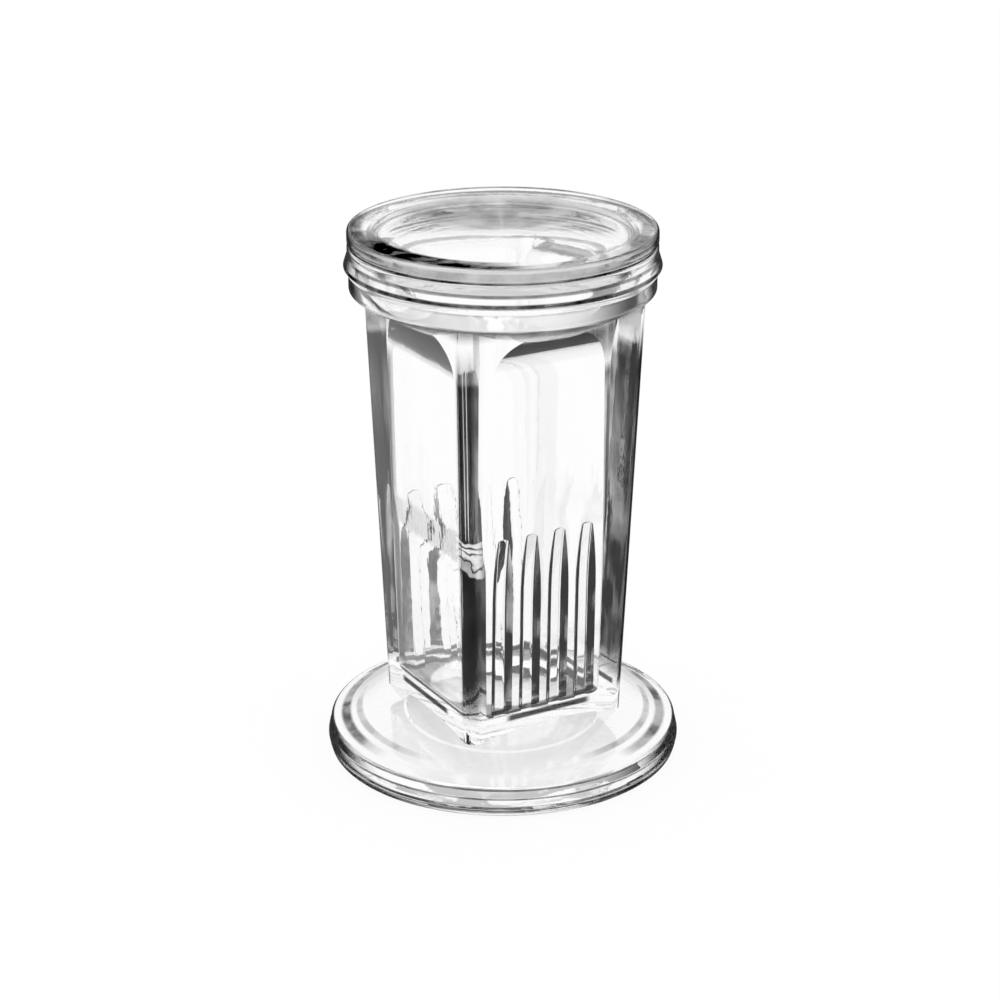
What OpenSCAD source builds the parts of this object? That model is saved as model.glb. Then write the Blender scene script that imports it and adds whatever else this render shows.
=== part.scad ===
// Slide staining jar of pressed glass, with its loose cover.
// Millimetres, +Z up. The origin is the centre of the foot's underside.
// The ribbed walls face +Y and -Y, the plain walls +X and -X.

/* [Foot] */
// Widest diameter of the round foot
foot_d = 65.7; // [60:0.1:74]
// Height of the edge where the foot's side turns into its top
foot_edge_h = 5.7; // [5.3:0.1:7]
// Height of the lower of the two fine lines round the foot's side
low_line_z = 1.3; // [1:0.1:1.6]
// Height of the upper of the two fine lines
high_line_z = 3.6; // [3.4:0.1:4]
// Depth of the two fine lines
line_depth = 0.15; // [0.1:0.05:0.25]
// Height of each line
line_h = 0.2; // [0.15:0.05:0.3]
// How far the foot's side stands in at the two lines
line_in = 0.2; // [0.1:0.05:0.3]
// How far it stands in at its lower and upper edge
foot_in = 0.6; // [0.45:0.05:0.8]
// Width of the ring between the foot's widest point and the dome on its top
shoulder_w = 3.3; // [2.5:0.1:5]
// Rise of that ring from its outer edge to the dome
dome_rise = 0.4; // [0.3:0.05:0.5]
// Height the dome would reach in the middle of the foot
dome_top = 12.4; // [11:0.1:13.5]
// Width of the ring the foot stands on, from the foot's widest point
stand_w = 4.3; // [3:0.1:7]
// Depth of the recess under the foot
kick_depth = 4; // [2:0.1:4.5]
// Diameter of the small step in the recess
step_d = 35; // [26:0.5:40]
// Height of that step
step_rise = 0.4; // [0.2:0.1:0.8]

/* [Body] */
// Height at which the body starts, inside the dome of the foot
body_z = 7; // [6:0.1:7.4]
// Width of the square body at that height
body_w = 32.8; // [30:0.1:34]
// How much the body's side leans out for each mm of height
body_lean = 0.0327; // [0.02:0.0001:0.04]
// Radius of the body's upright corners
corner_r = 2.5; // [1:0.1:4]

/* [Collar and rim] */
// Height at which the flare under the collar leaves the flat walls
flare_z = 84.2; // [82:0.1:86]
// Height of the collar's lower edge
collar_z = 89; // [88:0.1:90]
// Diameter of the collar
collar_d = 54.8; // [53:0.1:56]
// Height of the groove between the collar and the bead
groove_z = 91.9; // [91:0.1:92.5]
// Diameter of the bead round the rim
bead_d = 56.6; // [56:0.1:58]
// Height of the bead's crest
bead_z = 93.3; // [92.8:0.1:94]
// Height over which the bead falls back to the rim
bead_fall = 2.2; // [1.6:0.1:2.6]
// Diameter of the rim above the bead
rim_d = 55.2; // [54:0.1:55.8]
// Height of the jar, to the top of its rim
jar_h = 97.3; // [96.8:0.1:99]

/* [Mouth] */
// Diameter of the mouth the cover's plug drops into
mouth_d = 47; // [44:0.1:49]
// Height of the ledge at the bottom of the mouth
ledge_z = 91; // [90:0.1:91.5]
// Width of that ledge
ledge_w = 2; // [1.4:0.1:2.6]
// Diameter of the round throat under the mouth
throat_d = 36.4; // [35.6:0.1:37.4]
// Height at which the throat starts to open out to the mouth
throat_z = 87; // [86.5:0.1:88.5]

/* [Inside] */
// Height of the inside floor
floor_z = 12.3; // [11.5:0.1:14]
// Width between the plain walls at the floor
inner_w = 23.8; // [22.8:0.1:25]
// How much a plain wall leans out for each mm of height
inner_lean = 0.012; // [0.005:0.001:0.02]
// Distance between the ribbed walls at the floor, groove to groove
groove_w = 26.4; // [26.2:0.1:27]
// How much a ribbed wall leans out for each mm of height
groove_lean = 0.014; // [0.005:0.001:0.02]
// Radius of the rounding between floor and walls
floor_round = 1.6; // [1:0.1:2]
// Height at which the plain walls start to step back
ledge_low_z = 42; // [38:0.5:46]
// Height over which the plain walls step back
ledge_low_h = 8; // [6:0.5:10]
// Width between the plain walls above the step
upper_w = 26.8; // [26.4:0.1:27.4]
// Height at which the flat walls start to run out into the round throat
runout_z = 76.5; // [74:0.5:78]
// Radius of the run-out
runout_r = 12; // [10:0.5:14]

/* [Ribs] */
// Ribs on each ribbed wall
rib_count = 4; // [3:1:4]
// Distance from rib to rib
rib_pitch = 5.8; // [5.4:0.1:5.9]
// Width of a rib where it leaves the wall
rib_w = 4.2; // [3.8:0.1:4.4]
// Width of a rib's flat crown
rib_crown = 1.9; // [1.4:0.1:2.2]
// How far a rib stands out of the wall
rib_out = 2.2; // [1.6:0.1:2.4]
// How far a rib still stands out at its top
rib_top_out = 0.3; // [0.2:0.1:0.8]
// Height at which a rib starts to bend back into the wall
rib_bend_z = 34; // [28:0.5:38]
// Height of a rib's top
rib_top_z = 47.4; // [45:0.2:50]
// Radius of a rib's round top
rib_end_r = 1.6; // [1.6:0.1:2]

/* [Cover] */
// Diameter of the cover
cover_d = 55.2; // [54:0.1:57]
// Thickness of the cover's edge
cover_t = 2.4; // [2:0.1:3.5]
// Rounding of the cover's upper edge
cover_round = 0.7; // [0.4:0.1:1]
// Width of the flat ring round the dish in the cover's top
dish_margin = 3.6; // [2:0.1:6]
// Depth of the dish
dish_depth = 1; // [0.3:0.1:1.2]
// Depth of the plug under the cover
plug_h = 4.5; // [3.6:0.1:4.8]
// Width of the ring round the hollow under the plug
hollow_margin = 0.9; // [0.8:0.1:3]
// Depth of that hollow
hollow_depth = 1.6; // [1:0.1:2.4]

/* [Edges] */
// Rounding of the sharpest pressed edges
edge_round = 0.3; // [0.2:0.05:0.35]
// Rounding along a rib's crown
crown_round = 0.5; // [0.3:0.1:0.7]

/* [Clearances] */
// Gap between the cover and the rim it rests on
seat_gap = 0.3; // [0.2:0.05:0.4]
// Gap all round between the plug and the mouth
plug_gap = 0.6; // [0.4:0.05:1]

/* [Hidden] */
$fn = 96;
// Steps in a long computed arc, and in a small rounding
steps = 24;
round_steps = 6;
// Overlap that carries a cut through a surface
over = 1;

foot_r = foot_d / 2;
body_half = body_w / 2;
inner_half = inner_w / 2;
groove_half = groove_w / 2;
upper_half = upper_w / 2;
throat_r = throat_d / 2;
cover_z = jar_h + seat_gap;
cover_r = cover_d / 2;
plug_r = mouth_d / 2 - plug_gap;
// A rib's bend is the circle that takes its crown from rib_out to rib_top_out
bend_h = rib_top_z - rib_bend_z;
bend_r = (bend_h * bend_h - rib_out * rib_out + rib_top_out * rib_top_out) / 2 / (rib_out - rib_top_out);

glass = [0.86, 0.9, 0.9, 0.45];

// Points of an arc about (x, y), from angle a to angle b in n steps
function arc(x, y, r, a, b, n) =
    [for (i = [0:n]) [x + r * cos(a + (b - a) * i / n), y + r * sin(a + (b - a) * i / n)]];

// Points of a round cap of radius w and height h standing on height z, from radius ra to radius rb
function cap(w, h, z, ra, rb) =
    let (r = (w * w + h * h) / (2 * h))
    [for (i = [0:steps])
        let (x = ra + (rb - ra) * i / steps)
        [x, z + h - r + sqrt(r * r - x * x)]];

// An outline with its corners rounded: each point is [x, y, radius]. A radius of 0 leaves it sharp,
// and -1 leaves it out, as only the end of a neighbour's side.
function rounded(p) =
    [for (i = [0:len(p) - 1])
        let (b = p[i], a = p[(i + len(p) - 1) % len(p)], c = p[(i + 1) % len(p)])
        each b[2] < 0 ? [] : b[2] == 0 ? [[b[0], b[1]]] : fillet(flat(a), flat(b), flat(c), b[2])];

// A point without its radius
function flat(p) = [p[0], p[1]];

// The arc of radius r that touches both sides of the corner a, b, c
function fillet(a, b, c, r) =
    let (u = (a - b) / norm(a - b),
         v = (c - b) / norm(c - b),
         half = acos(u * v) / 2,
         middle = b + (u + v) / norm(u + v) * r / sin(half),
         ta = b + u * r / tan(half),
         tb = b + v * r / tan(half),
         from = atan2(ta[1] - middle[1], ta[0] - middle[0]),
         to = atan2(tb[1] - middle[1], tb[0] - middle[0]),
         turn = to - from > 180 ? to - from - 360 : to - from < -180 ? to - from + 360 : to - from)
    arc(middle[0], middle[1], r, from, from + turn, round_steps);

// The same points the other way round, and on the other side
function reversed(p) = [for (i = [len(p) - 1:-1:0]) p[i]];
function mirrored(p) = [for (q = reversed(p)) [-q[0], q[1]]];

// Half of the body's width at height z
function body_at(z) = body_half + body_lean * (z - body_z);

// Foot: a domed disc with fine lines round its side and a recess under it
module foot() {
    r = foot_r;
    e = edge_round;
    kick_r = r - stand_w;
    dome_r = r - shoulder_w;
    dome_z = foot_edge_h + dome_rise;
    step_r = step_d / 2;
    line_r = r - line_in;
    widest_z = (low_line_z + high_line_z) / 2;
    rotate_extrude()
        polygon(concat(
            cap(kick_r, kick_depth, step_rise, 0, step_r - step_rise),
            cap(kick_r, kick_depth, 0, step_r, kick_r),
            rounded([
                [kick_r, 0, -1],
                [r - foot_in, 0, 2 * e],
                [line_r, low_line_z, 0],
                [line_r - line_depth, low_line_z + line_h, 0],
                [r, widest_z - line_h, 2 * e],
                [r, widest_z + line_h, 2 * e],
                [line_r, high_line_z, 0],
                [line_r - line_depth, high_line_z + line_h, 0],
                [r - foot_in, foot_edge_h, 3 * e],
                [dome_r + dome_rise, dome_z, 2 * e],
                [dome_r, dome_z, -1]]),
            reversed(cap(dome_r, dome_top - dome_z, dome_z, 0, dome_r))));
}

// Body: a square block with rounded corners that widens upward
module block() {
    top = collar_z + over;
    hull()
        for (x = [-1, 1])
            for (y = [-1, 1]) {
                translate([x * (body_half - corner_r), y * (body_half - corner_r), body_z])
                    cylinder(h = 0.01, r = corner_r, $fn = 48);
                translate([x * (body_at(top) - corner_r), y * (body_at(top) - corner_r), top])
                    cylinder(h = 0.01, r = corner_r, $fn = 48);
            }
}

// Collar, groove, bead and rim, with the flare that carries them
module head() {
    e = edge_round;
    rotate_extrude()
        polygon(rounded([
            [0, flare_z, 0],
            [body_at(flare_z), flare_z, 0],
            [collar_d / 2, collar_z, 2 * e],
            [collar_d / 2, groove_z, e],
            [bead_d / 2, bead_z, e],
            [rim_d / 2, bead_z + bead_fall, 4 * e],
            [rim_d / 2, jar_h, 2 * e],
            [0, jar_h, 0]]));
}

// Rounding between the floor and a wall at distance x
function floor_corner(x) =
    arc(x - floor_round, floor_z + floor_round, floor_round, -90, 0, round_steps);

// Run-out of a wall at distance x: an arc that leans out into the throat, and a line up past its end
function runout(x) =
    let (end = acos(1 - (throat_r + over / 2 - x) / runout_r))
    concat(
        [for (i = [0:steps])
            let (a = end * i / steps)
            [x + runout_r * (1 - cos(a)), runout_z + runout_r * sin(a)]],
        [[throat_r + over / 2, jar_h]]);

// Outline of the inside, right half, between the plain walls: they step back part of the way up
plain_side = concat(
    floor_corner(inner_half),
    [[inner_half + inner_lean * (ledge_low_z - floor_z), ledge_low_z],
     [upper_half, ledge_low_z + ledge_low_h]],
    runout(upper_half));

// The same between the ribbed walls
ribbed_side = concat(
    floor_corner(groove_half),
    runout(groove_half + groove_lean * (runout_z - floor_z)));

// A prism as wide as the throat, lying along Y, with one of those outlines and its mirror image
module prism(side) {
    rotate([90, 0, 0])
        translate([0, 0, -throat_r])
            linear_extrude(throat_d)
                polygon(concat(side, mirrored(side)));
}

// Inside below the mouth: four walls that run out into the round throat
module flats() {
    intersection() {
        prism(plain_side);
        rotate([0, 0, 90])
            prism(ribbed_side);
        translate([0, 0, floor_z])
            cylinder(h = throat_z + over - floor_z, d = throat_d);
    }
}

// Throat and mouth
module mouth() {
    e = edge_round;
    rotate_extrude()
        polygon(rounded([
            [0, throat_z, 0],
            [throat_r, throat_z, 0],
            [mouth_d / 2 - ledge_w, ledge_z, 2 * e],
            [mouth_d / 2, ledge_z, e],
            [mouth_d / 2, jar_h - 2 * e, e],
            [mouth_d / 2 + 2 * e, jar_h, 0],
            [mouth_d / 2 + 2 * e, jar_h + over, 0],
            [0, jar_h + over, 0]]));
}

// Section of a rib: the wall's face is y = 0, the glass of the wall above it
rib_section = rounded([
    [rib_w / 2 + over / 2, over, 0],
    [-rib_w / 2 - over / 2, over, 0],
    [-rib_w / 2, 0, 0],
    [-rib_crown / 2, -rib_out, crown_round],
    [rib_crown / 2, -rib_out, crown_round],
    [rib_w / 2, 0, 0]]);

// One rib at distance x from the middle: straight, then bending back into the wall
module rib(x) {
    straight = rib_bend_z - floor_z;
    top = rib_top_z - floor_z;
    deep = rib_out + 4 * over;
    translate([x, groove_half, floor_z])
        rotate([-atan(groove_lean), 0, 0])
            intersection() {
                union() {
                    translate([0, 0, -over])
                        linear_extrude(straight + over)
                            polygon(rib_section);
                    translate([0, bend_r, straight])
                        rotate([90, 0, -90])
                            rotate_extrude(angle = asin(bend_h / bend_r) + 3)
                                polygon([for (p = rib_section) [bend_r - p[1], p[0]]]);
                }
                union() {
                    translate([-rib_w, -rib_out - over, -over])
                        cube([2 * rib_w, deep, top - rib_end_r + over]);
                    translate([0, deep - rib_out - over, top - rib_end_r])
                        rotate([90, 0, 0])
                            cylinder(h = deep, r = rib_end_r);
                }
            }
}

module ribs() {
    for (i = [0:rib_count - 1])
        rib((i - (rib_count - 1) / 2) * rib_pitch);
}

module jar() {
    color(glass)
        difference() {
            union() {
                foot();
                block();
                head();
            }
            difference() {
                union() {
                    flats();
                    mouth();
                }
                ribs();
                rotate([0, 0, 180])
                    ribs();
            }
        }
}

// Cover: a disc with a dished top, and a plug with a hollow under it
module cover() {
    hollow_r = plug_r - hollow_margin;
    dish_r = cover_r - dish_margin;
    e = edge_round;
    color(glass)
        translate([0, 0, cover_z])
            rotate_extrude()
                polygon(concat(
                    cap(hollow_r, hollow_depth, -plug_h, 0, hollow_r),
                    rounded([
                        [hollow_r, -plug_h, -1],
                        [plug_r, -plug_h, 2 * e],
                        [plug_r, 0, e],
                        [cover_r, 0, e],
                        [cover_r, cover_t, cover_round],
                        [dish_r, cover_t, -1]]),
                    [for (p = reversed(cap(dish_r, dish_depth, 0, 0, dish_r))) [p[0], cover_t - p[1]]]));
}

jar();
cover();
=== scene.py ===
"""Finish of a pressed-glass slide staining jar and its loose cover, and the table they stand on."""

import math
from collections import namedtuple

import bpy
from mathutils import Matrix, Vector


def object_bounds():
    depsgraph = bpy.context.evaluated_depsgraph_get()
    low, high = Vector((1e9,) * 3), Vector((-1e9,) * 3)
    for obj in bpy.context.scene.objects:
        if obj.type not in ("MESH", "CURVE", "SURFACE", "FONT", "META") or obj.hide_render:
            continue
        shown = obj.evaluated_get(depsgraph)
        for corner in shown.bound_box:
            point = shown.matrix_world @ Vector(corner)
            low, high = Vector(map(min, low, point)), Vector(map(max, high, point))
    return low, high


bl_info = {
    "name": "Slide staining jar",
    "version": (1, 0, 0),
    "blender": (4, 5, 0),
    "location": "View3D > Sidebar > Staining jar",
    "description": "Finishes the pressed-glass jar and cover and sets them on a pale table",
    "category": "Object",
}

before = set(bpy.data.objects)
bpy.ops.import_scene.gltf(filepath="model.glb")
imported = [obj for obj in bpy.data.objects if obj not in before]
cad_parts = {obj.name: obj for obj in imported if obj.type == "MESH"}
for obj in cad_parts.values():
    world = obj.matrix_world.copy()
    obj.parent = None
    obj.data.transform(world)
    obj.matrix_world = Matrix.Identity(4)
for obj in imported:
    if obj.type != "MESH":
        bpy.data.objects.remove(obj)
CAD_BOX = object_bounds()

# Refractive index of soda-lime pressed glass
GLASS_IOR = 1.5
# Edges that turn by less than this are drawn smooth
SMOOTH_ANGLE = math.radians(28)
# Seams between the faces of one piece closer than this are joined
SEAM = 1e-6

WHITE = (1, 1, 1, 1)
# Black that is mixed into the glass as painted shade
SHADE_BLACK = (0, 0, 0, 1)
# Colour that the glass gives to the light that makes its shadow
SHADOW_TINT = (0.97, 0.97, 0.97, 1)
# Roughness of the painted gleam on the round outside
GLEAM_ROUGHNESS = 0.1

# A pair of numbers is a span: a level rises or falls smoothly from the first to the second.
# Heights and radii are in metres, with height 0 on the table.

# Radii of the inside's end, the floor's edge, the rim's and bead's outside, and the foot's side
BORE_EDGE = (0.0183, 0.019)
FLOOR_RIM = (0.0105, 0.0115)
RIM_EDGE = (0.0262, 0.0268)
FOOT_EDGE = (0.0312, 0.0318)

# Heights of the foot's side, the flat walls, the throat, the flare and the neck above it that gets painted
# shade
FOOT_SIDE_TOP = (0.0058, 0.0062)
WALL_START = (0.012, 0.0135)
WALL_END = (0.084, 0.085)
THROAT_START = (0.074, 0.078)
FLARE_START = (0.083, 0.0845)
NECK_START = (0.0855, 0.0885)
COLLAR_START = (0.0888, 0.0892)

# How far a surface turns away where its painted edge shade starts or its painted gleam ends
OUTLINE_TURN = (0.56, 0.8)
FOOT_TURN = (0.3, 0.58)
CORNER_TURN = (0.25, 0.55)
GLEAM_TURN = (0.1, 0.5)
# How far a normal rises on undersides and on level tops, which get no painted edge shade
UNDERSIDE = (-0.6, -0.3)
LEVEL_TOP = (0.85, 0.97)
# How much of the painted edge shade the flare lets go
FLARE_CLEAR = 0.7
# How strongly a surface mirrors where it starts to hide what is behind it
MIRROR = (0.5, 1.0)

# Noise: scale, detail and roughness
WAVE_NOISE = (95, 1, 0.5)
CHILL_NOISE = (650, 2, 0.5)
STREAK_NOISE = (260, 3, 0.6)
CLOUD_NOISE = (90, 2, 0.5)
PATCH_NOISE = (140, 3, 0.6)
# How the noise is drawn out upward
CHILL_STRETCH = (1, 1, 0.35)
STREAK_STRETCH = (1, 1, 0.07)
# Span of the noise, and the levels at its ends
STREAK_LEVELS = ((0.3, 0.7), 0.75, 1.1)
CLOUD_LEVELS = ((0.35, 0.65), 0.6, 1.1)

# The ways the body's front and left corners point
FRONT_CORNER = math.radians(-135)
LEFT_CORNER = math.radians(135)

# Painted shade strip on each outer corner: half its width, where it starts and ends, and its darkness
STRIP_HALF = 0.003
STRIP_START = (0.012, 0.016)
STRIP_END = (0.078, 0.086)
STRIP_DARK = 0.8
# Paler core of the painted shade strip, above the ribs
CORE_HALF = 0.0014
CORE_START = (0.048, 0.054)
CORE_SHARE = 0.5
# Height of the painted light band and glints on the front corner, where the ribs inside end
SHOULDER = 0.0466
# Below it the painted shade strip is paler and patchy
LOW_END = (0.044, SHOULDER)
LOW_SHARE = 0.6
# Painted light band: the way it lies, half its height, how far it sways, and how much painted shade it takes
# away
FRONT_SPAN = (0.94, 0.98)
LIGHT_BAND_HALF = 0.0035
LIGHT_BAND_SWAY = 0.012
LIGHT_BAND_REFLECTION_LIFT = 0.6
LIGHT_BAND_STRIP_LIFT = 0.8
# Painted glint lines in the light band: heights from its middle, half their width, reach and strength
GLINT_LINES = (-0.0036, -0.0018, 0.0, 0.002)
GLINT_HALF = 0.0009
GLINT_REACH = 0.0045
GLINT_STRENGTH = 0.9
# Painted shade line in each inner corner but the front one
WELL_HALF = 0.0018
WELL_FRONT = (0.9, 0.97)
WELL_START = (0.013, 0.016)
WELL_END = (0.07, 0.08)
WELL_DARK = 0.95
# Painted shade line round the floor: height, half its width and darkness
FLOOR_SHADE_LINE = (0.0128, 0.0008, 0.9)
# The painted reflection shade is paler at the left corner above the ribs
PALE_SPAN = (0.85, 0.95)
PALE_START = (0.042, 0.055)
PALE_SHARE = 0.4
# Shares of streaks and patches in the painted shade on the neck and in the fine painted shade rings
NECK_SHADE_NOISE = (0.5, 0.4)
RING_SHADE_NOISE = (0.5, 1.0)
# How closely an arc keeps to its way, and half its height
ARC_SPAN = (0.7, 0.93)
ARC_HEIGHT = 0.004
# Share of a band's half width over which it is full
BAND_CORE = 0.4

# What sets one piece's glass apart. Tones, openings and shine are stops: a share of the jar's height
# with its cover, and a level there. Tones say how strong the painted shade is that stands in for the
# mirroring inside, openings how much of the light it would mirror goes straight on, and shine how
# strongly the painted gleam shows on the round outside.
Finish = namedtuple("Finish", "inner_tones outer_tones openings shine rings arcs")
# A fine ring of painted shade, and an arc of painted shade that lies one way from the middle
Ring = namedtuple("Ring", "height half strength")
Arc = namedtuple("Arc", "height radius half way strength")

# Painted shade line where the cover sits on the rim
SEAT_SHADE_RING = Ring(0.09745, 0.0004, 0.9)
# Strength of the painted reflection shade up the lower jar
LOWER_TONES = [
    (0.0, 0.0), (0.13, 0.0), (0.155, 1.0), (0.3, 1.25), (0.36, 1.2), (0.45, 0.7), (0.6, 0.6), (0.72, 0.85),
]
JAR_FINISH = Finish(
    inner_tones=[
        *LOWER_TONES, (0.755, 0.95), (0.775, 0.3), (0.8, 0.7), (0.83, 1.0), (0.843, 0.9),
        (0.85, 0.0), (0.91, 0.0), (0.93, 0.08), (1.0, 0.1),
    ],
    outer_tones=[
        *LOWER_TONES, (0.76, 0.95), (0.79, 0.05), (0.88, 0.0), (0.92, 0.0), (0.93, 0.08), (1.0, 0.1),
    ],
    openings=[
        (0.0, 0.0), (0.765, 0.0), (0.775, 0.4), (0.8, 0.1), (0.843, 0.0), (0.85, 0.85), (0.91, 0.85),
        (0.915, 0.3), (1.0, 0.3),
    ],
    shine=[
        (0.0, 0.55), (0.055, 0.55), (0.06, 0.0), (0.885, 0.0), (0.89, 0.75), (0.915, 0.75),
        (0.92, 0.2), (0.95, 0.2),
    ],
    # Fine rings of painted shade at the rim, bead and foot
    rings=[
        SEAT_SHADE_RING, Ring(0.0936, 0.0005, 0.9), Ring(0.0952, 0.0004, 0.6),
        Ring(0.0052, 0.00025, 0.7), Ring(0.0036, 0.0002, 0.7), Ring(0.0013, 0.0002, 0.7),
    ],
    # Arcs of painted shade on the foot's top
    arcs=[
        Arc(0.0065, 0.0295, 0.0012, math.radians(150), 0.8),
        Arc(0.0065, 0.0295, 0.0012, math.radians(-30), 0.8),
        Arc(0.0065, 0.027, 0.0008, math.radians(170), 0.4),
        Arc(0.0065, 0.027, 0.0008, math.radians(-45), 0.5),
    ],
)
COVER_FINISH = Finish(
    inner_tones=[(0.0, 0.15), (1.0, 0.15)],
    outer_tones=[(0.0, 0.15), (1.0, 0.15)],
    openings=[(0.0, 0.0), (1.0, 0.0)],
    shine=[(0.0, 0.0), (0.974, 0.0), (0.976, 0.8), (0.992, 0.8), (0.998, 0.0), (1.0, 0.0)],
    rings=[SEAT_SHADE_RING, Ring(0.0985, 0.0012, 0.5)],
    # Arcs of painted shade, standing in for dark reflections on the cover's top
    arcs=[
        Arc(0.0995, 0.0245, 0.0026, math.radians(-156), 1.1),
        Arc(0.0995, 0.0262, 0.0013, math.radians(-150), 1.1),
        Arc(0.0995, 0.026, 0.0016, math.radians(168), 0.8),
        Arc(0.0995, 0.0265, 0.001, math.radians(60), 0.6),
        Arc(0.0995, 0.0215, 0.003, math.radians(60), 0.3),
        Arc(0.0995, 0.0255, 0.0015, math.radians(-25), 0.5),
        Arc(0.0995, 0.012, 0.012, math.radians(30), 0.5),
        Arc(0.0995, 0.012, 0.012, math.radians(95), 0.5),
    ],
)

# Half the table's side, and how far its top lies under the foot, so that the two faces don't flicker
TABLE_HALF = 2.0
TABLE_DROP = 0.0001
# The soft lamp overhead
LAMP_PLACE = (-0.25, -0.1, 0.75)
LAMP_SIZE = 0.5
# The camera's film, its sideways shift and the nearest thing it shows
FILM_WIDTH = 36
FILM_SHIFT = -0.00289
NEAREST = 0.01
# How often light may bounce: glass seen through glass takes many turns
BOUNCES = {
    "max_bounces": 32,
    "transmission_bounces": 32,
    "glossy_bounces": 16,
    "transparent_max_bounces": 32,
}


class Value:
    """A socket of a node tree that can stand in an expression."""

    def __init__(self, tree, socket):
        self.tree = tree
        self.socket = socket

    def _maths(self, operation, first, second):
        return self.tree.out(self.tree.add("ShaderNodeMath", {"operation": operation}, first, second))

    def __add__(self, other):
        return self._maths("ADD", self, other)

    def __radd__(self, other):
        return self._maths("ADD", other, self)

    def __sub__(self, other):
        return self._maths("SUBTRACT", self, other)

    def __rsub__(self, other):
        return self._maths("SUBTRACT", other, self)

    def __mul__(self, other):
        return self._maths("MULTIPLY", self, other)

    def __rmul__(self, other):
        return self._maths("MULTIPLY", other, self)

    def __truediv__(self, other):
        return self._maths("DIVIDE", self, other)

    def __rtruediv__(self, other):
        return self._maths("DIVIDE", other, self)

    def larger(self, other):
        """The larger of two levels."""
        return self._maths("MAXIMUM", self, other)


class Tree:
    """A node tree that is filled by expressions, emptied first."""

    def __init__(self, tree):
        self.tree = tree
        tree.nodes.clear()

    def add(self, kind, settings=None, *terms, **named):
        """A node of this type. Its settings come first, then what its sockets hold or link to.

        Terms fill the sockets in order, and named ones go to the socket of that name.
        """
        node = self.tree.nodes.new(kind)
        for name, setting in (settings or {}).items():
            if name == "stops":
                self._set_stops(node.color_ramp, setting)
            else:
                setattr(node, name, setting)
        pairs = list(zip(node.inputs, terms))
        pairs += [(self._input(node, name), term) for name, term in named.items()]
        for socket, term in pairs:
            if isinstance(term, Value):
                self.tree.links.new(term.socket, socket)
            else:
                socket.default_value = term
        return node

    def out(self, node, name=0):
        """One output of a node, as a value for expressions."""
        return Value(self, node.outputs[name])

    @staticmethod
    def _input(node, name):
        wanted = name.replace("_", " ").lower()
        for socket in node.inputs:
            if socket.enabled and socket.name.lower() == wanted:
                return socket
        raise ValueError(f"{node.bl_idname} has no socket named {wanted}")

    @staticmethod
    def _set_stops(ramp, stops):
        while len(ramp.elements) < len(stops):
            ramp.elements.new(0.5)
        for element, (place, level) in zip(ramp.elements, stops):
            element.position = place
            element.color = (level, level, level, 1)

    def ramp(self, value, stops):
        """A level that runs through these stops as the value goes from 0 to 1."""
        return self.out(self.add("ShaderNodeValToRGB", {"stops": stops}, value), "Color")

    def rising(self, value, span, low=0.0, high=1.0):
        """A level that turns smoothly from low to high as the value crosses the span."""
        node = self.add(
            "ShaderNodeMapRange", {"interpolation_type": "SMOOTHSTEP"},
            value=value, from_min=span[0], from_max=span[1], to_min=low, to_max=high,
        )
        return self.out(node, "Result")

    def falling(self, value, span):
        """1 before the span and 0 past it."""
        return self.rising(value, span, 1.0, 0.0)

    def within(self, value, start, end):
        """1 from the start to the end, which are spans that it crosses smoothly."""
        return self.rising(value, start) * self.falling(value, end)

    def band(self, value, middle, half):
        """1 where the value is at the middle, falling to 0 at half to either side."""
        off = self.out(self.add("ShaderNodeMath", {"operation": "ABSOLUTE"}, value - middle))
        return self.falling(off, (half * BAND_CORE, half))

    def vectors(self, operation, *terms, output="Vector"):
        """One output of a Vector Math node."""
        return self.out(self.add("ShaderNodeVectorMath", {"operation": operation}, *terms), output)

    def noise(self, place, kind):
        """A soft cloudy level from about 0.25 to 0.75."""
        scale, detail, roughness = kind
        node = self.add(
            "ShaderNodeTexNoise", {"noise_dimensions": "3D"},
            vector=place, scale=scale, detail=detail, roughness=roughness,
        )
        return self.out(node, "Fac")

    def stretched(self, place, factors):
        """Coordinates multiplied by a factor along each axis."""
        return self.out(self.add("ShaderNodeMapping", {"vector_type": "POINT"}, vector=place, scale=factors))

    def mix_shader(self, share, first, second):
        """A mix of two shaders, with this share of the second."""
        return self.out(self.add("ShaderNodeMixShader", None, share, first, second))


def emptied(owner):
    """The node tree of a material or world, with nothing in it."""
    owner.use_nodes = True
    return Tree(owner.node_tree)


class GlassSettings(bpy.types.PropertyGroup):
    """How the pressed glass looks."""

    tint: bpy.props.FloatVectorProperty(
        name="Tint", description="Colour the glass gives to light that passes its surface",
        subtype="COLOR", size=3, min=0, max=1, default=(0.99, 0.99, 0.99),
    )
    # Strength of the painted shade that stands in for the dark mirroring inside thick walls
    depth: bpy.props.FloatProperty(
        name="Depth", description="How dark the inside of a thick wall looks where it mirrors itself",
        subtype="FACTOR", min=0, max=1, default=0.95,
    )
    # Strength of the painted shade where the glass turns away from the eye
    outline: bpy.props.FloatProperty(
        name="Outline", description="How dark the glass looks where it turns away from the eye",
        subtype="FACTOR", min=0, max=1, default=0.95,
    )
    wave: bpy.props.FloatProperty(
        name="Wave", description="Height of the slow waves that pressing leaves in the surface",
        subtype="DISTANCE", unit="LENGTH", min=0, max=0.001, default=0.00006,
    )
    chill: bpy.props.FloatProperty(
        name="Chill marks", description="Height of the fine ripples from the cold mould",
        subtype="DISTANCE", unit="LENGTH", min=0, max=0.001, default=0.000012,
    )


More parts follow.
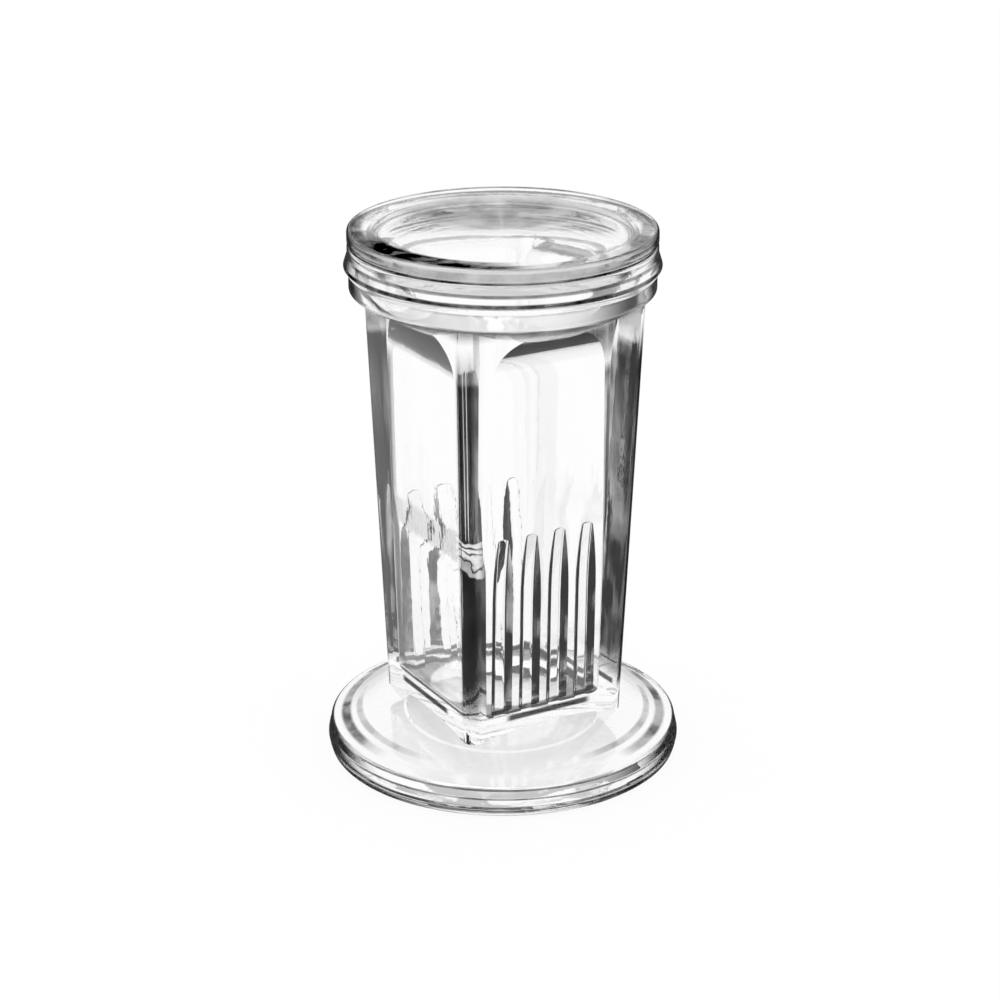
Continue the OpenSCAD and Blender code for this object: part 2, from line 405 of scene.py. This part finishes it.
class StageSettings(bpy.types.PropertyGroup):
    """The table, the light and the camera."""

    table: bpy.props.FloatVectorProperty(
        name="Table", description="Colour of the table and of what lies behind it",
        subtype="COLOR", size=3, min=0, max=1, default=(1, 1, 1),
    )
    shadow: bpy.props.FloatProperty(
        name="Shadow", description="How much of the table's look comes from the light that falls on it",
        subtype="FACTOR", min=0, max=1, default=0.12,
    )
    sky: bpy.props.FloatProperty(
        name="Sky", description="Strength of the even light from all round",
        min=0, max=2, default=1.0,
    )
    lamp: bpy.props.FloatProperty(
        name="Lamp", description="Power of the soft lamp overhead",
        subtype="POWER", unit="POWER", min=0, max=50, default=0.6,
    )
    aim: bpy.props.FloatVectorProperty(
        name="Aim", description="Point on the jar's axis that the camera looks at",
        subtype="TRANSLATION", unit="LENGTH", size=3, default=(0.0, 0.0, 0.04813),
    )
    distance: bpy.props.FloatProperty(
        name="Distance", description="From the camera to that point",
        subtype="DISTANCE", unit="LENGTH", min=0.1, max=5, default=0.49428,
    )
    turn: bpy.props.FloatProperty(
        name="Turn", description="How far the camera stands round from the ribbed side",
        subtype="ANGLE", unit="ROTATION", default=math.radians(-30),
    )
    pitch: bpy.props.FloatProperty(
        name="Pitch", description="How far the camera looks down",
        subtype="ANGLE", unit="ROTATION", default=math.radians(21.34),
    )
    lens: bpy.props.FloatProperty(
        name="Lens", description="Focal length on a 36 mm wide film",
        subtype="DISTANCE_CAMERA", unit="CAMERA", min=10, max=300, default=97.2,
    )


class Spot:
    """Where a point of the glass lies and how it faces, as levels that its look is made from."""

    def __init__(self, t):
        self.t = t
        self.place = t.out(t.add("ShaderNodeTexCoord"), "Object")
        self.level = t.out(t.add("ShaderNodeSeparateXYZ", None, self.place), "Z")
        self.share = self.level / CAD_BOX[1].z
        across = t.vectors("MULTIPLY", self.place, (1, 1, 0))
        self.outward = t.vectors("NORMALIZE", across)
        self.radius = t.vectors("LENGTH", across, output="Value")
        sides = t.add("ShaderNodeSeparateXYZ", None, t.vectors("ABSOLUTE", self.place))
        self.corner = t.out(sides, "X") - t.out(sides, "Y")

        geometry = t.add("ShaderNodeNewGeometry")
        self.rise = t.out(t.add("ShaderNodeSeparateXYZ", None, t.out(geometry, "Normal")), "Z")
        self.behind = t.out(geometry, "Backfacing")
        self.before = 1 - self.behind
        self.turned = t.out(t.add("ShaderNodeLayerWeight", blend=0.5), "Facing")
        mirror = t.out(t.add("ShaderNodeFresnel", ior=GLASS_IOR))
        self.held = t.rising(mirror, MIRROR) * self.behind

        self.outer = t.rising(self.radius, BORE_EDGE)
        self.inner = 1 - self.outer
        self.rim = t.rising(self.radius, RIM_EDGE)
        self.front = t.rising(self.toward(FRONT_CORNER), FRONT_SPAN)

        # Streaks, clouds and patches break up the painted shade, and sway the painted light band and glints
        upright = t.stretched(self.place, STREAK_STRETCH)
        self.streaks = t.rising(t.noise(upright, STREAK_NOISE), *STREAK_LEVELS)
        self.clouds = t.rising(t.noise(self.place, CLOUD_NOISE), *CLOUD_LEVELS)
        self.patches = t.noise(self.place, PATCH_NOISE)
        self.swayed = self.level + (self.patches - 0.5) * LIGHT_BAND_SWAY

    def toward(self, way):
        """1 where the point lies this way from the middle, and 0 where it lies at a right angle to it."""
        aim = (math.cos(way), math.sin(way), 0)
        return self.t.vectors("DOT_PRODUCT", self.outward, aim, output="Value")

    def shade_noise(self, shares):
        """Streaks and patches together, in these shares."""
        return self.streaks * shares[0] + self.patches * shares[1]


def pressed_surface(spot, look):
    """The normal of glass with slow waves and fine chill marks."""
    t = spot.t
    slow = t.noise(spot.place, WAVE_NOISE)
    fine = t.noise(t.stretched(spot.place, CHILL_STRETCH), CHILL_NOISE)
    waves = t.out(t.add("ShaderNodeBump", strength=1.0, distance=look.wave, height=slow))
    return t.out(t.add("ShaderNodeBump", strength=1.0, distance=look.chill, height=fine, normal=waves))


def painted_reflection_shade(spot, finish, painted_light_band):
    """Painted shade in thick walls, standing in for the dark mirroring of their own inside."""
    t = spot.t
    inner = t.ramp(spot.share, finish.inner_tones) * spot.inner
    outer = t.ramp(spot.share, finish.outer_tones) * spot.outer
    pale = t.rising(spot.toward(LEFT_CORNER), PALE_SPAN) * t.rising(spot.level, PALE_START)
    kept = (1 - pale * PALE_SHARE) * (1 - painted_light_band * LIGHT_BAND_REFLECTION_LIFT)
    return spot.held * (inner + outer) * spot.streaks * spot.clouds * kept


def outline(spot, strip):
    """Painted shade where the glass turns away, apart from its flat walls, undersides and level tops."""
    t = spot.t
    off_wall = 1 - t.within(spot.level, WALL_START, WALL_END)
    reach = (spot.outer * off_wall).larger(spot.inner * t.falling(spot.level, THROAT_START))
    flare = t.within(spot.level, FLARE_START, COLLAR_START)
    line = t.rising(spot.turned, OUTLINE_TURN) * reach * (1 - flare * FLARE_CLEAR)
    foot_side = t.falling(spot.level, FOOT_SIDE_TOP) * t.rising(spot.radius, FOOT_EDGE)
    line = line.larger(t.rising(spot.turned, FOOT_TURN) * foot_side)
    line = line.larger(t.rising(spot.turned, CORNER_TURN) * strip)
    return line * t.within(spot.rise, UNDERSIDE, LEVEL_TOP)


def painted_strip_shade(spot, strip, painted_light_band):
    """Painted shade strip on each outer corner."""
    t = spot.t
    core = t.band(spot.corner, 0.0, CORE_HALF) * t.rising(spot.level, CORE_START)
    low = t.falling(spot.level, LOW_END) * spot.patches * LOW_SHARE
    kept = (1 - core * CORE_SHARE) * (1 - painted_light_band * LIGHT_BAND_STRIP_LIFT)
    return strip * spot.streaks * spot.clouds * (STRIP_DARK - low) * kept


def painted_arc_shade(spot, arc):
    """A patchy arc of painted shade on a round top."""
    t = spot.t
    reach = t.rising(spot.toward(arc.way), ARC_SPAN) * t.band(spot.level, arc.height, ARC_HEIGHT)
    patchy = t.rising(spot.patches, *CLOUD_LEVELS)
    return t.band(spot.radius, arc.radius, arc.half) * reach * patchy * arc.strength


def painted_ring_shade(spot, ring):
    """A fine ring of painted shade round the outside."""
    line = spot.t.band(spot.level, ring.height, ring.half)
    return line * spot.rim * spot.shade_noise(RING_SHADE_NOISE) * ring.strength


def painted_outer_shade(spot, look, finish, painted_light_band):
    """All painted shade that lies on the outside of the glass."""
    t = spot.t
    strip = t.band(spot.corner, 0.0, STRIP_HALF) * t.within(spot.level, STRIP_START, STRIP_END) * spot.outer
    outer_shade = (outline(spot, strip) * look.outline).larger(painted_strip_shade(spot, strip, painted_light_band))
    for arc in finish.arcs:
        outer_shade = outer_shade.larger(painted_arc_shade(spot, arc))
    for ring in finish.rings:
        outer_shade = outer_shade.larger(painted_ring_shade(spot, ring))
    neck_shade = t.within(spot.level, NECK_START, COLLAR_START) * spot.outer
    return outer_shade.larger(neck_shade * spot.shade_noise(NECK_SHADE_NOISE))


def painted_inner_corner_shade(spot):
    """Painted shade lines in the inner corners, seen from inside the glass, and round the floor."""
    t = spot.t
    line = t.band(spot.corner, 0.0, WELL_HALF) * t.within(spot.level, WELL_START, WELL_END)
    corners = line * spot.inner * spot.behind * t.falling(spot.toward(FRONT_CORNER), WELL_FRONT)
    height, half, strength = FLOOR_SHADE_LINE
    floor = t.band(spot.level, height, half) * spot.inner * t.rising(spot.radius, FLOOR_RIM)
    return (corners * spot.streaks * WELL_DARK).larger(floor * strength)


def painted_gleam_share(spot, finish):
    """Share of painted gleam on the outside: round parts that face the eye, and glint lines at the shoulder.
    """
    t = spot.t
    gleam = t.ramp(spot.share, finish.shine) * spot.rim * t.falling(spot.turned, GLEAM_TURN) * spot.before
    reach = spot.front * t.band(spot.corner, 0.0, GLINT_REACH) * spot.outer * spot.before * GLINT_STRENGTH
    for off in GLINT_LINES:
        gleam = gleam.larger(t.band(spot.swayed, SHOULDER + off, GLINT_HALF) * reach)
    return gleam


def pressed_glass(name, look, finish):
    """Clear glass with a painted gleam outside, and painted shade where it mirrors its inside and where it
    turns away.
    """
    material = bpy.data.materials.new(name)
    t = emptied(material)
    spot = Spot(t)
    normal = pressed_surface(spot, look)
    # Painted light band on the front corner at the shoulder, where less painted shade falls
    painted_light_band = t.band(spot.swayed, SHOULDER, LIGHT_BAND_HALF) * spot.front
    outer_shade = painted_outer_shade(spot, look, finish, painted_light_band)
    # Painted shade, mixed in as black: the mirroring inside, edges, corner strips, rings, arcs and inner
    # corner lines
    painted_shade = painted_reflection_shade(spot, finish, painted_light_band) * look.depth + outer_shade * spot.before
    painted_shade = painted_shade.larger(painted_inner_corner_shade(spot))
    let_out = spot.held * t.ramp(spot.share, finish.openings) * spot.inner

    glass = t.out(t.add(
        "ShaderNodeBsdfPrincipled", base_color=(*look.tint, 1), roughness=0.0, ior=GLASS_IOR,
        transmission_weight=1.0, normal=normal,
    ))
    # Glossy shader for the painted gleam, mixed in by its masks
    gloss = t.out(t.add("ShaderNodeBsdfGlossy", color=WHITE, roughness=GLEAM_ROUGHNESS, normal=normal))
    shade_black = t.out(t.add("ShaderNodeBsdfDiffuse", color=SHADE_BLACK))
    straight = t.out(t.add("ShaderNodeBsdfTransparent", color=WHITE))
    shade = t.out(t.add("ShaderNodeBsdfTransparent", color=SHADOW_TINT))

    body = t.mix_shader(painted_gleam_share(spot, finish), glass, gloss)
    body = t.mix_shader(painted_shade, body, shade_black)
    body = t.mix_shader(let_out, body, straight)
    shadow_ray = t.out(t.add("ShaderNodeLightPath"), "Is Shadow Ray")
    t.add("ShaderNodeOutputMaterial", surface=t.mix_shader(shadow_ray, body, shade))
    return material


def soften(piece):
    """Joins the seams of a CAD piece and draws it smooth up to its sharp edges."""
    seams = piece.modifiers.new("seams", "WELD")
    seams.merge_threshold = SEAM

    group = bpy.data.node_groups.new(piece.name + "_smooth", "GeometryNodeTree")
    for way in ("INPUT", "OUTPUT"):
        group.interface.new_socket("Geometry", in_out=way, socket_type="NodeSocketGeometry")
    t = Tree(group)
    shape = t.out(t.add("NodeGroupInput"))
    angle = t.out(t.add("GeometryNodeInputMeshEdgeAngle"))
    soft = t.out(t.add("FunctionNodeCompare", {"operation": "LESS_THAN"}, angle, SMOOTH_ANGLE))
    faces = t.out(t.add("GeometryNodeSetShadeSmooth", {"domain": "FACE"}, geometry=shape))
    edges = t.out(t.add("GeometryNodeSetShadeSmooth", {"domain": "EDGE"}, geometry=faces, shade_smooth=soft))
    t.add("NodeGroupOutput", None, edges)
    piece.modifiers.new("smooth", "NODES").node_group = group


def finish_node(node, material):
    """Gives a CAD piece its material in place of every one it came with."""
    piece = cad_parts[node]
    soften(piece)
    if not piece.material_slots:
        piece.data.materials.append(material)
    for slot in piece.material_slots:
        slot.material = material


class STAINING_OT_jar(bpy.types.Operator):
    """Finish the jar in pressed glass"""

    bl_idname = "staining.jar"
    bl_label = "Jar"

    def execute(self, context):
        finish_node("jar", pressed_glass("jar glass", context.scene.staining_glass, JAR_FINISH))
        return {"FINISHED"}


class STAINING_OT_cover(bpy.types.Operator):
    """Finish the loose cover in the same glass"""

    bl_idname = "staining.cover"
    bl_label = "Cover"

    def execute(self, context):
        finish_node("cover", pressed_glass("cover glass", context.scene.staining_glass, COVER_FINISH))
        return {"FINISHED"}


class STAINING_OT_stage(bpy.types.Operator):
    """Set the pale table, the soft light and the camera"""

    bl_idname = "staining.stage"
    bl_label = "Stage"

    def execute(self, context):
        scene = context.scene
        stage = scene.staining_stage
        self.lay_table(scene, stage)
        self.light(scene, stage)
        self.stand_camera(scene, stage)
        scene.view_settings.view_transform = "Standard"
        for name, count in BOUNCES.items():
            setattr(scene.cycles, name, count)
        return {"FINISHED"}

    @staticmethod
    def seen(t):
        """1 for rays that carry a picture to the eye, straight or by glass, and 0 for the rest."""
        path = t.add("ShaderNodeLightPath")
        camera, glossy, through = (
            t.out(path, f"Is {name} Ray") for name in ("Camera", "Glossy", "Transmission")
        )
        return 1 - (1 - camera) * (1 - glossy) * (1 - through)

    def lay_table(self, scene, stage):
        mesh = bpy.data.meshes.new("table")
        corners = [
            (x * TABLE_HALF, y * TABLE_HALF, -TABLE_DROP) for x, y in ((-1, -1), (1, -1), (1, 1), (-1, 1))
        ]
        mesh.from_pydata(corners, [], [(0, 1, 2, 3)])
        table = bpy.data.objects.new("table", mesh)
        scene.collection.objects.link(table)

        material = bpy.data.materials.new("table")
        t = emptied(material)
        colour = (*stage.table, 1)
        lit = t.out(t.add("ShaderNodeBsdfDiffuse", color=colour))
        shown = t.out(t.add("ShaderNodeEmission", color=colour, strength=1.0))
        share = self.seen(t) * (1 - stage.shadow)
        t.add("ShaderNodeOutputMaterial", surface=t.mix_shader(share, lit, shown))
        mesh.materials.append(material)

    def light(self, scene, stage):
        world = bpy.data.worlds.new("sky")
        scene.world = world
        t = emptied(world)
        strength = self.seen(t) * (1 - stage.sky) + stage.sky
        sky = t.out(t.add("ShaderNodeBackground", color=(*stage.table, 1), strength=strength))
        t.add("ShaderNodeOutputWorld", surface=sky)

        data = bpy.data.lights.new("lamp", "AREA")
        data.shape = "DISK"
        data.size = LAMP_SIZE
        data.energy = stage.lamp
        lamp = bpy.data.objects.new("lamp", data)
        lamp.location = LAMP_PLACE
        lamp.rotation_euler = (-lamp.location).to_track_quat("-Z", "Y").to_euler()
        scene.collection.objects.link(lamp)

    def stand_camera(self, scene, stage):
        data = bpy.data.cameras.new("camera")
        data.lens = stage.lens
        data.sensor_width = FILM_WIDTH
        data.shift_x = FILM_SHIFT
        data.clip_start = NEAREST
        camera = bpy.data.objects.new("camera", data)
        ahead = Vector((
            -math.sin(stage.turn) * math.cos(stage.pitch),
            math.cos(stage.turn) * math.cos(stage.pitch),
            -math.sin(stage.pitch),
        ))
        camera.location = Vector(stage.aim) - ahead * stage.distance
        camera.rotation_mode = "QUATERNION"
        camera.rotation_quaternion = ahead.to_track_quat("-Z", "Y")
        scene.collection.objects.link(camera)
        scene.camera = camera


class STAINING_PT_panel(bpy.types.Panel):
    """Lists the jar's pieces and their settings"""

    bl_label = "Staining jar"
    bl_idname = "STAINING_PT_panel"
    bl_space_type = "VIEW_3D"
    bl_region_type = "UI"
    bl_category = "Staining jar"

    def draw(self, context):
        layout = self.layout
        for operator in OPERATORS:
            layout.operator(operator.bl_idname)
        for settings in (context.scene.staining_glass, context.scene.staining_stage):
            box = layout.box()
            for name in settings.__annotations__:
                box.prop(settings, name)


OPERATORS = (STAINING_OT_jar, STAINING_OT_cover, STAINING_OT_stage)
CLASSES = (GlassSettings, StageSettings, *OPERATORS, STAINING_PT_panel)


def register():
    for cls in CLASSES:
        bpy.utils.register_class(cls)
    bpy.types.Scene.staining_glass = bpy.props.PointerProperty(type=GlassSettings)
    bpy.types.Scene.staining_stage = bpy.props.PointerProperty(type=StageSettings)


def unregister():
    del bpy.types.Scene.staining_stage
    del bpy.types.Scene.staining_glass
    for cls in reversed(CLASSES):
        bpy.utils.unregister_class(cls)


def main():
    register()
    bpy.ops.staining.jar()
    bpy.ops.staining.cover()
    bpy.ops.staining.stage()


if __name__ == "__main__":
    main()
